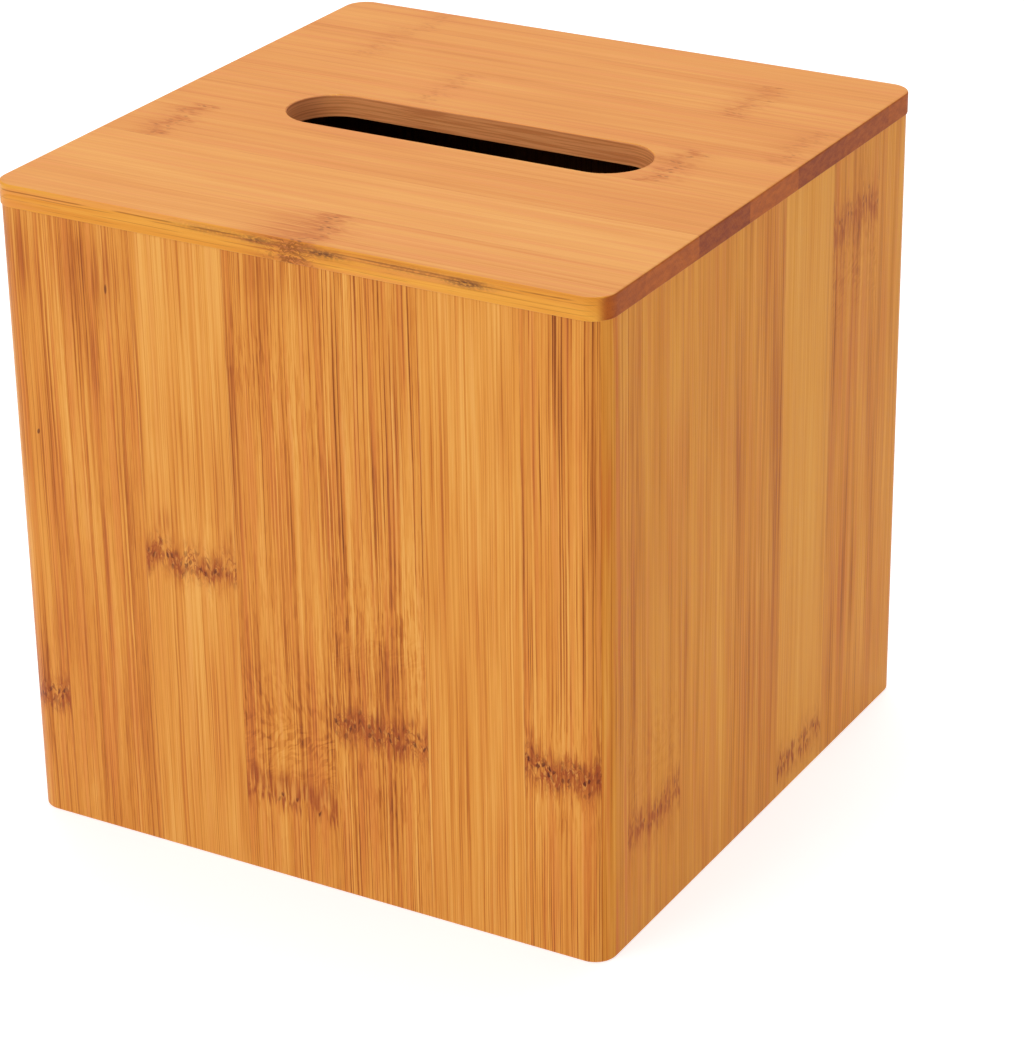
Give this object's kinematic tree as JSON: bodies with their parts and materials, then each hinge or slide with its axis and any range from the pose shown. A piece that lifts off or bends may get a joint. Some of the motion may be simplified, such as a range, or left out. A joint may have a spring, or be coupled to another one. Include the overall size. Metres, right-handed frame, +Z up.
{
  "type": "tissue box cover",
  "caption": "Cube tissue box cover of glued bamboo strips: mitred walls, slotted top board with rounded edges, and a thin base panel that slides out at the back.",
  "frame": {"origin": "on the table, under the middle of the cover", "axes": "+Z up; -Y is the front; +X is the right side; the base panel slides out towards +Y"},
  "size_m": [0.145, 0.145, 0.148],
  "materials": {
    "front_wall": "satin lacquered bamboo, upright grain",
    "right_wall": "satin lacquered bamboo, upright grain",
    "back_wall": "satin lacquered bamboo, upright grain",
    "left_wall": "satin lacquered bamboo, upright grain",
    "top_board": "satin lacquered bamboo, grain from left to right",
    "base_panel": "thin bamboo panel, lightly lacquered"
  },
  "bodies": {
    "carcass": {"front_strip_1": "front_wall", "front_strip_2": "front_wall", "front_strip_3": "front_wall", "front_strip_4": "front_wall", "front_strip_5": "front_wall", "front_strip_6": "front_wall", "front_strip_7": "front_wall", "right_strip_1": "right_wall", "right_strip_2": "right_wall", "right_strip_3": "right_wall", "right_strip_4": "right_wall", "right_strip_5": "right_wall", "right_strip_6": "right_wall", "right_strip_7": "right_wall", "back_strip_1": "back_wall", "back_strip_2": "back_wall", "back_strip_3": "back_wall", "back_strip_4": "back_wall", "back_strip_5": "back_wall", "back_strip_6": "back_wall", "back_strip_7": "back_wall", "left_strip_1": "left_wall", "left_strip_2": "left_wall", "left_strip_3": "left_wall", "left_strip_4": "left_wall", "left_strip_5": "left_wall", "left_strip_6": "left_wall", "left_strip_7": "left_wall", "top_strip_1": "top_board", "top_strip_2": "top_board", "top_strip_3": "top_board", "top_strip_4": "top_board", "top_strip_5": "top_board", "top_strip_6": "top_board", "top_strip_7": "top_board"},
    "base": {"base_panel": "base_panel"}
  },
  "joints": [
    {"name": "base_slide", "type": "slide", "parent": "carcass", "child": "base", "axis": [0, 1, 0], "range_m": [0, 0.145]}
  ]
}
